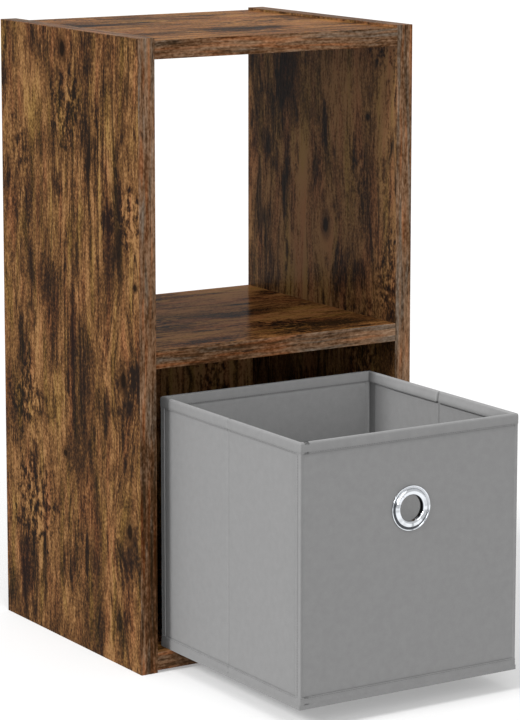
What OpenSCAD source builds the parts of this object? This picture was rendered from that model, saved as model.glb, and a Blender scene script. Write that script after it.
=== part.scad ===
// Two-compartment cube storage unit: a board carcass held by hidden cam
// fittings, and a folding fabric box that slides in the lower compartment.
// The front faces -Y. The origin is under the middle of the whole object,
// with the fabric box pulled out.

/* [Carcass] */
// Width over the two side panels
cabinet_w = 366; // [330:1:420]
// Depth of the carcass
cabinet_d = 325; // [310:1:400]
// Height of the side panels
cabinet_h = 720; // [700:1:800]
// Thickness of every carcass board, edging left out
board_t = 21; // [18:0.5:25]
// How far the side panels stand past the top and bottom panels
lip = 3; // [1:0.5:6]
// Height of the top face of the middle shelf
shelf_top = 371; // [365:1:400]
// Thickness of the edging strips
edging_t = 0.8; // [0.4:0.1:2]

/* [Back panel] */
// Thickness of the back panel
back_t = 3; // [2.5:0.5:5]
// From the rear edges to the front face of the back panel
back_inset = 10; // [8:1:20]
// Depth of the grooves that hold the back panel
groove_depth = 4.5; // [3:0.5:6]

/* [Cam fittings] */
// Distance of each cam from the front or rear edge of its board
cam_setback = 50; // [40:1:70]
// Distance from a cam to the dowel beside it
dowel_pitch = 32; // [28:1:60]
// Distance of the cam's centre from the end of its board
cam_from_end = 25; // [20:1:34]

/* [Fabric box] */
// Width of the fabric box over its bindings
box_w = 286; // [270:1:300]
// Depth of the fabric box over its bindings
box_d = 290; // [270:1:300]
// Height of the fabric box
box_h = 290; // [260:1:300]
// How far the box stands out of the carcass
box_out = 268; // [0:1:280]
// How far the box stands right of the middle; negative is left
box_shift = -2; // [-10:1:10]
// Thickness of the fabric
skin = 0.6; // [0.4:0.1:1]
// Thickness of the stiffening boards in the walls and base
panel = 2.4; // [2:0.2:3]
// Thickness of the binding tape
bind = 1; // [0.6:0.1:1.2]
// Height of the binding round the rim
rim_tape_h = 12.5; // [8:0.5:20]
// Height above the ground of the upper edge of the bottom binding
base_tape_top = 13; // [10:0.5:20]
// Width of the fabric strip left free on each side of a fold line
fold_gap = 2.5; // [2:0.5:5]

/* [Eyelet] */
// Radius of the finger hole
eyelet_hole_r = 14.6; // [12:0.1:18]
// Outer radius of the eyelet
eyelet_r = 25; // [22:0.5:30]
// Distance of the eyelet's centre below the rim
eyelet_drop = 88; // [60:1:120]
// How far the eyelet stands in front of the binding
eyelet_proud = 1.5; // [1:0.1:2]

/* [Hidden] */

oak = [0.46, 0.32, 0.21];
oak_edge = [0.52, 0.38, 0.28];
zinc = [0.72, 0.72, 0.70];
steel = [0.62, 0.63, 0.65];
beech = [0.80, 0.66, 0.46];
greyboard = [0.55, 0.50, 0.43];
grey_felt = [0.55, 0.55, 0.56];
grey_tape = [0.60, 0.60, 0.61];
chrome = [0.85, 0.86, 0.88];

// Carcass planes
total_d = eyelet_proud + box_out + cabinet_d;
box_front = -total_d / 2 + eyelet_proud;
cab_front = box_front + box_out;
cab_rear = cab_front + cabinet_d;
inner_x = cabinet_w / 2 - board_t;
bottom_z = lip;
shelf_z = shelf_top - board_t;
top_z = cabinet_h - lip - board_t;
floor_z = bottom_z + board_t;

// Cam fittings
cam_r = 7.4;
cam_bore_r = 7.5;
cam_h = 12.3;
cam_bore_h = 12.8;
bolt_thread_r = 2.5;
bolt_thread_len = 11;
bolt_shank_r = 3;
bolt_head_r = 3.6;
bolt_head_len = 4;
bolt_bore_r = 4;
dowel_r = 4;
dowel_len = 30;
hole_play = 0.05;
dowel_in_side = 11;
cam_x = inner_x - cam_from_end;
fitting_rows = [cab_front + cam_setback, cab_rear - cam_setback];
dowel_rows = [cab_front + cam_setback + dowel_pitch, cab_rear - cam_setback - dowel_pitch];
panel_bottoms = [bottom_z, shelf_z, top_z];

// Fabric box, in its own frame: x from its middle, y from its front, z from its base
wall = panel + 2 * skin;
edge = wall + 2 * bind;
pan_t = 1;
pan_h = 4.9;
wall_z = 5.2;
hinge_in = edge + 0.2;
half_start = edge + 0.3;
half_end = box_d / 2 - fold_gap;
half_len = half_end - half_start;
seam = 3;
snug = 0.05;
insert_gap = 0.7;
insert_z = pan_t + 0.1;
eyelet_z = box_h - eyelet_drop;
barrel_r = 15.4;
fabric_hole_r = 15.6;

// ---------- carcass ----------

module both_sides() { children(); mirror([1, 0, 0]) children(); }

module side_board() {
    difference() {
        translate([inner_x, cab_front + edging_t, 0])
            cube([board_t, cabinet_d - 2 * edging_t, cabinet_h - edging_t]);
        back_groove();
        for (z = panel_bottoms) {
            for (y = fitting_rows)
                translate([inner_x - 1, y, z + board_t / 2]) rotate([0, 90, 0])
                    cylinder(r = bolt_thread_r + hole_play, h = bolt_thread_len + 1.5, $fn = 32);
            for (y = dowel_rows)
                translate([inner_x - 1, y, z + board_t / 2]) rotate([0, 90, 0])
                    cylinder(r = dowel_r + hole_play, h = dowel_in_side + 1.2, $fn = 32);
        }
    }
}

module side_edging() {
    difference() {
        translate([inner_x, cab_front, 0]) cube([board_t, cabinet_d, cabinet_h]);
        translate([inner_x - 1, cab_front + edging_t, -1])
            cube([board_t + 2, cabinet_d - 2 * edging_t, cabinet_h - edging_t + 1]);
    }
}

// The space that the back panel and its play take up in the boards round it
module back_groove() {
    play = 0.1;
    translate([-inner_x - groove_depth, cab_rear - back_inset - play, floor_z - groove_depth])
        cube([2 * (inner_x + groove_depth), back_t + 2 * play, shelf_z - floor_z + 2 * groove_depth]);
}

module cross_board(z) {
    difference() {
        translate([-inner_x, cab_front + edging_t, z])
            cube([2 * inner_x, cabinet_d - 2 * edging_t, board_t]);
        both_sides() {
            for (y = fitting_rows) {
                translate([cam_x, y, z - 1])
                    cylinder(r = cam_bore_r, h = cam_bore_h + 1, $fn = 48);
                translate([cam_x - bolt_head_r, y, z + board_t / 2]) rotate([0, 90, 0])
                    cylinder(r = bolt_bore_r, h = cam_from_end + bolt_head_r + 1, $fn = 32);
            }
            for (y = dowel_rows)
                translate([inner_x + 1, y, z + board_t / 2]) rotate([0, -90, 0])
                    cylinder(r = dowel_r + hole_play, h = dowel_len - dowel_in_side + 1.3, $fn = 32);
        }
    }
}

module cross_edging(z) {
    for (y = [cab_front, cab_rear - edging_t])
        translate([-inner_x, y, z]) cube([2 * inner_x, edging_t, board_t]);
}

module left_side() { color(oak) mirror([1, 0, 0]) side_board(); }
module right_side() { color(oak) side_board(); }
module left_side_edging() { color(oak_edge) mirror([1, 0, 0]) side_edging(); }
module right_side_edging() { color(oak_edge) side_edging(); }
module top_panel() { color(oak) cross_board(top_z); }
module top_panel_edging() { color(oak_edge) cross_edging(top_z); }
module middle_shelf_edging() { color(oak_edge) cross_edging(shelf_z); }
module bottom_panel_edging() { color(oak_edge) cross_edging(bottom_z); }

module middle_shelf() {
    color(oak) difference() { cross_board(shelf_z); back_groove(); }
}

module bottom_panel() {
    color(oak) difference() { cross_board(bottom_z); back_groove(); }
}

module back_panel() {
    hold = groove_depth - 0.3;
    color(oak) translate([-inner_x - hold, cab_rear - back_inset, floor_z - hold])
        cube([2 * (inner_x + hold), back_t, shelf_z - floor_z + 2 * hold]);
}

// Round cam with a slot for the bolt's head and a cross recess in its visible face
module cam_lock() {
    recess_depth = 2.5;
    difference() {
        translate([0, 0, 0.2]) cylinder(r = cam_r, h = cam_h, $fn = 48);
        translate([-bolt_head_r - 1, 0, board_t / 2]) rotate([0, 90, 0])
            cylinder(r = bolt_head_r + 0.4, h = cam_r + bolt_head_r + 2, $fn = 32);
        for (a = [0, 90])
            rotate(a) translate([-4, -0.6, -1]) cube([8, 1.2, recess_depth + 1.2]);
    }
}

module cam_locks() {
    color(zinc) both_sides()
        for (z = panel_bottoms, y = fitting_rows) translate([cam_x, y, z]) cam_lock();
}

// Bolt screwed into the side panel, its head held by the cam
module cam_bolt() {
    head_x = -cam_from_end - bolt_head_r + 1;
    rotate([0, 90, 0]) {
        translate([0, 0, head_x]) cylinder(r = bolt_head_r, h = bolt_head_len, $fn = 32);
        translate([0, 0, head_x]) cylinder(r = bolt_shank_r - 0.8, h = -head_x, $fn = 32);
        translate([0, 0, head_x + 9]) cylinder(r = bolt_shank_r, h = -head_x - 9, $fn = 32);
        cylinder(r = bolt_thread_r, h = bolt_thread_len, $fn = 32);
    }
}

module cam_bolts() {
    color(steel) both_sides()
        for (z = panel_bottoms, y = fitting_rows) translate([inner_x, y, z + board_t / 2]) cam_bolt();
}

module wood_dowels() {
    color(beech) both_sides()
        for (z = panel_bottoms, y = dowel_rows)
            translate([inner_x + dowel_in_side, y, z + board_t / 2]) rotate([0, -90, 0])
                cylinder(r = dowel_r, h = dowel_len, $fn = 32);
}

// ---------- fabric box ----------
// Each wall is drawn with its length along x, its outer binding at y = 0 and its inside towards +y.

module in_box() { translate([box_shift, box_front, floor_z]) children(); }

module wall_board(len) {
    top = box_h - bind - skin - snug;
    translate([seam + snug, bind + skin + snug, wall_z + bind])
        cube([len - 2 * (seam + snug), panel - 2 * snug, top - wall_z - bind]);
}

// Sleeve of fabric, open at the bottom, where the stiffening board goes in
module wall_cover(len) {
    difference() {
        translate([0, bind, wall_z + bind]) cube([len, wall, box_h - wall_z - 2 * bind]);
        translate([seam, bind + skin, wall_z - 1])
            cube([len - 2 * seam, panel, box_h - bind - skin - wall_z + 1]);
    }
}

module wall_rim_tape(len) {
    difference() {
        translate([0, 0, box_h - rim_tape_h]) cube([len, edge, rim_tape_h]);
        translate([-1, bind, box_h - rim_tape_h - 1]) cube([len + 2, wall, rim_tape_h - bind + 1]);
    }
}

module wall_base_tape(len) {
    difference() {
        translate([0, 0, wall_z]) cube([len, edge, base_tape_top - wall_z]);
        translate([-1, bind, wall_z + bind]) cube([len + 2, wall, base_tape_top]);
    }
}

module at_front() { in_box() translate([-box_w / 2, 0, 0]) children(); }
module at_back() { in_box() translate([-box_w / 2, box_d, 0]) mirror([0, 1, 0]) children(); }

module at_left(rear) {
    in_box() translate([-box_w / 2, rear ? box_d : 0, 0])
        mirror([0, rear ? 1 : 0, 0]) mirror([1, -1, 0]) translate([half_start, 0, 0]) children();
}

module at_right(rear) {
    in_box() translate([box_w / 2, rear ? box_d : 0, 0]) mirror([1, 0, 0])
        mirror([0, rear ? 1 : 0, 0]) mirror([1, -1, 0]) translate([half_start, 0, 0]) children();
}

// A round hole through the front wall, for the eyelet's barrel
module eyelet_cut(r) {
    translate([box_w / 2, -1, eyelet_z]) rotate([-90, 0, 0]) cylinder(r = r, h = edge + 2, $fn = 64);
}

module back_wall_board() {
    color(greyboard) at_back() translate([bind, 0, 0]) wall_board(box_w - 2 * bind);
}
module back_wall_cover() {
    color(grey_felt) at_back() translate([bind, 0, 0]) wall_cover(box_w - 2 * bind);
}
module back_wall_rim_tape() { color(grey_tape) at_back() wall_rim_tape(box_w); }
module back_wall_base_tape() { color(grey_tape) at_back() wall_base_tape(box_w); }

module front_wall_board() {
    color(greyboard) at_front() difference() {
        translate([bind, 0, 0]) wall_board(box_w - 2 * bind);
        eyelet_cut(fabric_hole_r);
    }
}
module front_wall_cover() {
    color(grey_felt) at_front() difference() {
        translate([bind, 0, 0]) wall_cover(box_w - 2 * bind);
        eyelet_cut(fabric_hole_r);
    }
}
module front_wall_rim_tape() { color(grey_tape) at_front() wall_rim_tape(box_w); }
module front_wall_base_tape() { color(grey_tape) at_front() wall_base_tape(box_w); }

module left_rear_board() { color(greyboard) at_left(true) wall_board(half_len); }
module left_rear_cover() { color(grey_felt) at_left(true) wall_cover(half_len); }
module left_rear_rim_tape() { color(grey_tape) at_left(true) wall_rim_tape(half_len); }
module left_rear_base_tape() { color(grey_tape) at_left(true) wall_base_tape(half_len); }
module left_front_board() { color(greyboard) at_left(false) wall_board(half_len); }
module left_front_cover() { color(grey_felt) at_left(false) wall_cover(half_len); }
module left_front_rim_tape() { color(grey_tape) at_left(false) wall_rim_tape(half_len); }
module left_front_base_tape() { color(grey_tape) at_left(false) wall_base_tape(half_len); }
module right_rear_board() { color(greyboard) at_right(true) wall_board(half_len); }
module right_rear_cover() { color(grey_felt) at_right(true) wall_cover(half_len); }
module right_rear_rim_tape() { color(grey_tape) at_right(true) wall_rim_tape(half_len); }
module right_rear_base_tape() { color(grey_tape) at_right(true) wall_base_tape(half_len); }
module right_front_board() { color(greyboard) at_right(false) wall_board(half_len); }
module right_front_cover() { color(grey_felt) at_right(false) wall_cover(half_len); }
module right_front_rim_tape() { color(grey_tape) at_right(false) wall_rim_tape(half_len); }
module right_front_base_tape() { color(grey_tape) at_right(false) wall_base_tape(half_len); }

// Shallow fabric tray that joins the walls along the bottom and folds up with them
module bottom_fabric() {
    rim_inset = 0.3;
    color(grey_felt) in_box() difference() {
        translate([-box_w / 2 + rim_inset, rim_inset, 0])
            cube([box_w - 2 * rim_inset, box_d - 2 * rim_inset, pan_h]);
        translate([-box_w / 2 + edge, edge, pan_t])
            cube([box_w - 2 * edge, box_d - 2 * edge, pan_h]);
    }
}

// Loose stiff base that lies in the tray; it has to come out before the walls fold
module base_insert_cover() {
    side = edge + insert_gap;
    color(grey_felt) in_box() difference() {
        translate([-box_w / 2 + side, side, insert_z]) cube([box_w - 2 * side, box_d - 2 * side, wall]);
        translate([-box_w / 2 + side + seam, side + seam, insert_z + skin])
            cube([box_w - 2 * (side + seam), box_d - 2 * side, panel]);
    }
}

module base_insert_board() {
    side = edge + insert_gap + seam + snug;
    rear = edge + insert_gap + skin;
    color(greyboard) in_box() translate([-box_w / 2 + side, side, insert_z + skin + snug])
        cube([box_w - 2 * side, box_d - side - rear, panel - 2 * snug]);
}

module on_eyelet_axis() {
    in_box() translate([0, 0, eyelet_z]) rotate([-90, 0, 0]) children();
}

// Front half of the eyelet: thin outer lip, sunken band, raised round bead and a barrel
module eyelet_rim() {
    bead_r = 1.7;
    lip_r = 0.7;
    barrel_end = bind + wall + 1.2;
    color(chrome) on_eyelet_axis() rotate_extrude($fn = 96) {
        intersection() {
            translate([eyelet_hole_r + bead_r, bead_r - eyelet_proud]) circle(r = bead_r, $fn = 32);
            translate([eyelet_hole_r, -eyelet_proud]) square([2 * bead_r, eyelet_proud + bind]);
        }
        translate([eyelet_r - lip_r, bind - lip_r]) circle(r = lip_r, $fn = 24);
        translate([eyelet_hole_r, bead_r - eyelet_proud]) square([barrel_r - eyelet_hole_r, barrel_end]);
        translate([eyelet_hole_r + 0.2, bind - 0.6]) square([eyelet_r - eyelet_hole_r - 1, 0.6]);
    }
}

// Rear half of the eyelet: a flat washer behind the wall's lining
module eyelet_washer() {
    washer_t = 0.9;
    color(chrome) on_eyelet_axis() translate([0, 0, bind + wall]) difference() {
        cylinder(r = eyelet_r - 1, h = washer_t, $fn = 96);
        translate([0, 0, -1]) cylinder(r = barrel_r + hole_play, h = washer_t + 2, $fn = 96);
    }
}

left_side();
right_side();
top_panel();
middle_shelf();
bottom_panel();
back_panel();
left_side_edging();
right_side_edging();
top_panel_edging();
middle_shelf_edging();
bottom_panel_edging();
cam_locks();
cam_bolts();
wood_dowels();
back_wall_board();
back_wall_cover();
back_wall_rim_tape();
back_wall_base_tape();
front_wall_board();
front_wall_cover();
front_wall_rim_tape();
front_wall_base_tape();
left_rear_board();
left_rear_cover();
left_rear_rim_tape();
left_rear_base_tape();
left_front_board();
left_front_cover();
left_front_rim_tape();
left_front_base_tape();
right_rear_board();
right_rear_cover();
right_rear_rim_tape();
right_rear_base_tape();
right_front_board();
right_front_cover();
right_front_rim_tape();
right_front_base_tape();
bottom_fabric();
base_insert_board();
base_insert_cover();
eyelet_rim();
eyelet_washer();
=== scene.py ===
"""Looks of the cube storage unit with its folding fabric box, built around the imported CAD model.

Geometry is worked out in millimetres in the row frame, and make_object turns it into metres.
"""

import math
import random

import bmesh
import bpy
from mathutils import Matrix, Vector, noise

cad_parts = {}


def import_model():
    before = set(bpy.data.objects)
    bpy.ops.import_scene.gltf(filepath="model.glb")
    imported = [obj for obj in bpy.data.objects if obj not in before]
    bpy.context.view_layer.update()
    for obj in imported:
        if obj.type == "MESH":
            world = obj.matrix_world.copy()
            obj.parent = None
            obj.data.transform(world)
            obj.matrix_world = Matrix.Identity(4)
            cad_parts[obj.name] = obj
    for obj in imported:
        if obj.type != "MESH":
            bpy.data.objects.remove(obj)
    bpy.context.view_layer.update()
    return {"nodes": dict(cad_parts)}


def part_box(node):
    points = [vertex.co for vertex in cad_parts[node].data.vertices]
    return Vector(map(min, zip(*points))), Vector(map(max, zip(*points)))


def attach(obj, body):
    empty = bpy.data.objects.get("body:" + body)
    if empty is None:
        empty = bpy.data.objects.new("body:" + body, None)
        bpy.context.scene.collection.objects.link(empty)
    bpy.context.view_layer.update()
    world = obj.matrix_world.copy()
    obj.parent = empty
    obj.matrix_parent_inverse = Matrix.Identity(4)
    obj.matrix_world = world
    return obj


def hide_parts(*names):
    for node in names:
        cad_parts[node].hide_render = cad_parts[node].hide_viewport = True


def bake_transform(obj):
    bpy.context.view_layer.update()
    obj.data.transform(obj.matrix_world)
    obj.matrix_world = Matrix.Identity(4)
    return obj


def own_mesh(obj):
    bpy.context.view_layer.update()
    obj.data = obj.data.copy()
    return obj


MM = 0.001

# Fabric box, in millimetres, as in the CAD source
BIND = 1.0  # thickness of the binding tape
WALL = 3.6  # thickness of a covered wall
EDGE = WALL + 2 * BIND
RIM_BAND = 12.5  # height of the rim binding
BASE_BAND = 13.0  # height of the bottom binding's upper edge
WALL_FOOT = 5.05  # height of the walls' lower edge above the box's underside
TRAY_TOP = 5.0
SIDE_START = EDGE + 0.35  # where a side wall starts, from the corner
OPEN_CORNER = "front_right"  # the corner with no joint in the CAD model: its pieces are cut along the fold
CORNER_RADIUS = 2.0
CORNER_TURN = CORNER_RADIUS * (1 - math.pi / 4)  # half of what rounding saves on the way round a corner
BEND_MIDDLE = -4.9  # the middle of that strip, along a corner's run
RIM_END = 12.0  # where the corner pieces of a binding end on the front and back walls
SIDE_END = 16.0  # and on the side walls
CREASE_BARE = 2.6  # no inner stitch closer to a crease than this, where the rim is pressed thin
CORNER_BARE = 4.0  # no stitch closer to the middle of a corner than this
STITCH_PITCH = 3.1
FINGER_HOLE = 15.6  # radius of the hole in the front wall's cover
ROUND_SIDES = 128  # of the finger hole and the eyelet
RIM_INSIDE_PAINTED_LIGHT = (15, 26, 2)  # which points of the rim binding's section face into the box, and their material, a lighter copy of the tape: painted light


# ---------- camera, light and floor ----------


def add_object(name, data):
    obj = bpy.data.objects.new(name, data)
    bpy.context.scene.collection.objects.link(obj)
    return obj


def add_camera():
    data = bpy.data.cameras.new("camera")
    data.sensor_width = 36
    data.lens = 151.37
    data.shift_y = -0.14
    data.clip_start = 0.1
    data.clip_end = 100
    camera = add_object("camera", data)
    yaw = math.radians(32.231)
    pitch = math.radians(9.007)
    ahead = Vector((math.sin(yaw) * math.cos(pitch), math.cos(yaw) * math.cos(pitch), -math.sin(pitch)))
    camera.location = (-1.8311, -2.8917, 0.9995)
    camera.rotation_euler = ahead.to_track_quat("-Z", "Y").to_euler()
    bpy.context.scene.camera = camera


def add_sun(name, azimuth, elevation, spread, strength):
    """Soft light from far away, in degrees. Azimuth 0 comes from the front and 90 from the left."""
    data = bpy.data.lights.new(name, "SUN")
    data.energy = strength * math.pi
    data.angle = math.radians(spread)
    light = add_object(name, data)
    turn, rise = math.radians(azimuth), math.radians(elevation)
    source = Vector((-math.sin(turn) * math.cos(rise), -math.cos(turn) * math.cos(rise), math.sin(rise)))
    light.location = source * 3
    light.rotation_euler = source.to_track_quat("Z", "Y").to_euler()


def add_studio():
    scene = bpy.context.scene
    scene.view_settings.view_transform = "Standard"
    world = bpy.data.worlds.new("studio")
    world.use_nodes = True
    background = world.node_tree.nodes["Background"]
    background.inputs["Color"].default_value = (1, 1, 1, 1)
    background.inputs["Strength"].default_value = 0.6
    scene.world = world
    add_sun("key", 87, 36, 18, 1.1)
    add_sun("fill", 12, 36, 36, 0.36)
    add_sun("front", 14, 11, 16, 0.3)
    add_sun("top", 60, 80, 40, 0.3)

    mesh = bpy.data.meshes.new("floor")
    reach = 40
    corners = [(-reach, -reach, 0), (reach, -reach, 0), (reach, reach, 0), (-reach, reach, 0)]
    mesh.from_pydata(corners, [], [(0, 1, 2, 3)])
    floor = add_object("floor", mesh)
    t = Tree("floor")
    t.set("Base Color", (0.45, 0.45, 0.45))
    t.set("Emission Color", (1, 1, 1))
    t.set("Emission Strength", 0.28)
    t.set("Roughness", 0.9)
    t.set("Specular IOR Level", 0.1)
    mesh.materials.append(t.material)


# ---------- material tools ----------


class Tree:
    """A material with a Principled shader, and short ways to add nodes to it."""

    def __init__(self, name):
        self.material = bpy.data.materials.new(name)
        self.material.use_nodes = True
        self.nodes = self.material.node_tree.nodes
        self.links = self.material.node_tree.links
        self.shader = self.nodes["Principled BSDF"].inputs

    def put(self, socket, value):
        if isinstance(value, bpy.types.NodeSocket):
            self.links.new(value, socket)
        elif isinstance(value, (tuple, list)) and len(value) == 3 and socket.type == "RGBA":
            socket.default_value = (*value, 1)
        else:
            socket.default_value = value

    def set(self, name, value):
        """Sets or links one of the shader's own sockets."""
        self.put(self.shader[name], value)

    def feed(self, node, *values):
        """Sets or links a node's sockets in order, and returns its first output."""
        for socket, value in zip(node.inputs, values):
            self.put(socket, value)
        return node.outputs[0]

    def fill(self, node, **values):
        for name, value in values.items():
            self.put(node.inputs[name], value)

    def math(self, operation, *values):
        node = self.nodes.new("ShaderNodeMath")
        node.operation = operation
        return self.feed(node, *values)

    def times(self, a, b):
        return self.math("MULTIPLY", a, b)

    def fit(self, value, low, high, to_low=0.0, to_high=1.0):
        """value's stretch from low to high, as a smooth step from to_low to to_high."""
        node = self.nodes.new("ShaderNodeMapRange")
        node.interpolation_type = "SMOOTHSTEP"
        return self.feed(node, value, low, high, to_low, to_high)

    def object_axes(self):
        place = self.nodes.new("ShaderNodeTexCoord").outputs["Object"]
        split = self.nodes.new("ShaderNodeSeparateXYZ")
        self.put(split.inputs[0], place)
        return list(split.outputs)

    def vector(self, x, y, z):
        return self.feed(self.nodes.new("ShaderNodeCombineXYZ"), x, y, z)

    def cells(self, axes, count):
        """A noise vector with so many cells to a metre each way."""
        return self.vector(*(self.times(c, count) for c in axes))

    def noise(self, vector, detail=2.0, roughness=0.5):
        node = self.nodes.new("ShaderNodeTexNoise")
        self.fill(node, Vector=vector, Scale=1.0, Detail=detail, Roughness=roughness)
        return node.outputs["Fac"]

    def ramp(self, value, stops):
        node = self.nodes.new("ShaderNodeValToRGB")
        self.put(node.inputs[0], value)
        elements = node.color_ramp.elements
        while len(elements) < len(stops):
            elements.new(0.5)
        for element, (place, colour) in zip(elements, stops):
            element.position = place
            element.color = (*colour, 1)
        return node.outputs[0]

    def blend(self, share, a, b, how="MIX"):
        node = self.nodes.new("ShaderNodeMix")
        node.data_type = "RGBA"
        node.blend_type = how
        self.fill(node, Factor=share, A=a, B=b)
        return node.outputs["Result"]

    def bump(self, height, distance, strength=1.0):
        node = self.nodes.new("ShaderNodeBump")
        self.fill(node, Height=height, Distance=distance, Strength=strength)
        self.set("Normal", node.outputs[0])


# ---------- materials ----------

ALONG_Z = (1, 0, 2)  # which axes run across the grain, through the board and along the grain
ALONG_X = (1, 2, 0)
STRIP_Z = (0, 1, 2)
STRIP_X = (2, 1, 0)
STRIP_Y = (0, 2, 1)
SEED_ACROSS = 1.37  # how many metres one step of the seed moves the print
SEED_ALONG = 2.11


def grain_space(t, axes, seed):
    """The place on a board as (across the grain, through the board, along the grain), shifted by the seed."""
    place = t.object_axes()
    across, deep, along = (place[k] for k in axes)
    across = t.math("ADD", across, SEED_ACROSS * seed)
    along = t.math("ADD", along, SEED_ALONG * seed)
    return across, deep, along


def stretched(t, space, across, along, deep=None, shift=0.0):
    """A noise vector with so many cells to a metre across and along the grain."""
    u, w, v = space
    return t.vector(
        t.math("MULTIPLY_ADD", u, across, shift),
        t.times(w, across if deep is None else deep),
        t.times(v, along),
    )


def knots(t, space, cells_across=7.5, cells_along=4.4, share=0.5):
    """Distance to the nearest knot in cells, its side in metres, and 1 where there is a knot at all."""
    u, _, v = space
    node = t.nodes.new("ShaderNodeTexVoronoi")
    node.voronoi_dimensions = "2D"
    at_u = t.times(u, cells_across)
    at_v = t.times(v, cells_along)
    t.fill(node, Vector=t.vector(at_u, at_v, 0.0), Scale=1.0)
    centre = t.nodes.new("ShaderNodeSeparateXYZ")
    t.put(centre.inputs[0], node.outputs["Position"])
    beside = t.math("DIVIDE", t.math("SUBTRACT", at_u, centre.outputs[0]), cells_across)
    chance = t.nodes.new("ShaderNodeSeparateColor")
    t.put(chance.inputs[0], node.outputs["Color"])
    there = t.math("LESS_THAN", chance.outputs[0], share)
    return node.outputs["Distance"], beside, there


def offset(t, value, gain, base):
    """Adds a noise to a value, so that the noise's middle leaves it as it is."""
    return t.math("MULTIPLY_ADD", t.math("SUBTRACT", value, 0.5), gain, base)


def ovals(t, space, seed, marks):
    """0 at the middle of the nearest mark and 1 on its edge.

    Marks are (across, along, half width, half length) in millimetres."""
    nearest = 9.0
    for across, along, half_across, half_along in marks:
        grow = (1000 / half_across, 1000 / half_along)
        start = (across / 1000 + SEED_ACROSS * seed, along / 1000 + SEED_ALONG * seed)
        x = t.math("MULTIPLY_ADD", space[0], grow[0], -grow[0] * start[0])
        y = t.math("MULTIPLY_ADD", space[2], grow[1], -grow[1] * start[1])
        length = t.nodes.new("ShaderNodeVectorMath")
        length.operation = "LENGTH"
        t.put(length.inputs[0], t.vector(x, y, 0.0))
        nearest = t.math("MINIMUM", nearest, length.outputs["Value"])
    return nearest


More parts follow.
